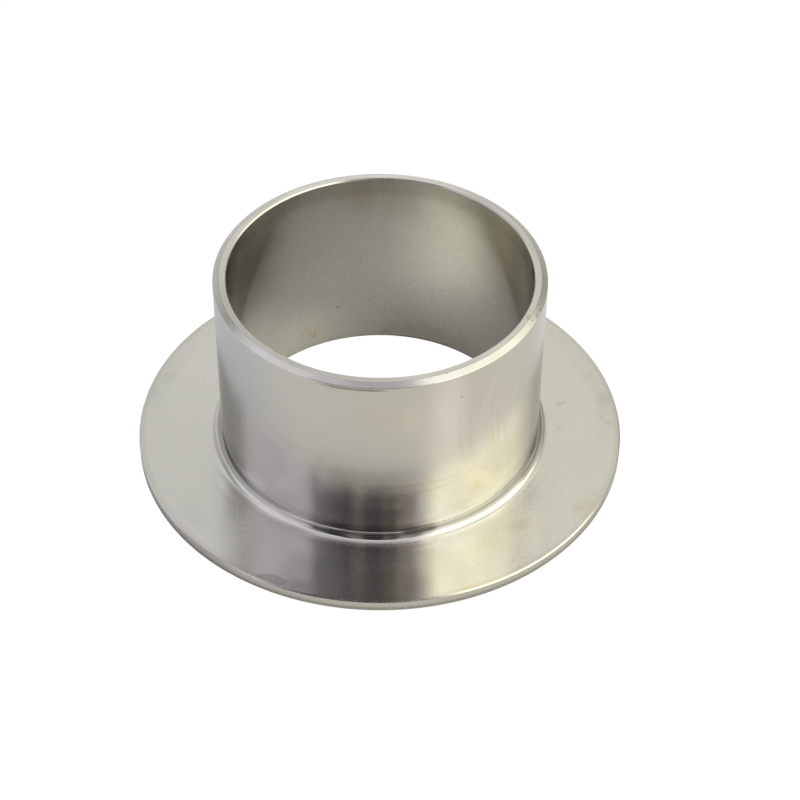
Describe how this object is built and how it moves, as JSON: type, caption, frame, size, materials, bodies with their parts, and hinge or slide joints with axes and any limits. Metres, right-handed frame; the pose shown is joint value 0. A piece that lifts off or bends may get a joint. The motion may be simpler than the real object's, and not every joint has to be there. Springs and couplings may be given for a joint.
{
  "type": "lap-joint pipe stub end",
  "caption": "Short stainless pipe stub whose foot is flared into a flat round lap; a loose backing flange slides on behind the lap and the bevelled end is welded to the line.",
  "frame": {"origin": "middle of the lap's gasket face, on the bore axis", "axes": "+Z along the bore axis, from the gasket face to the weld end"},
  "size_m": [0.116, 0.116, 0.05],
  "materials": {
    "stainless_steel": "pickled satin stainless steel, the collar, lap and weld end turned"
  },
  "bodies": {
    "root": {"stub_end": "stainless_steel"}
  },
  "joints": []
}
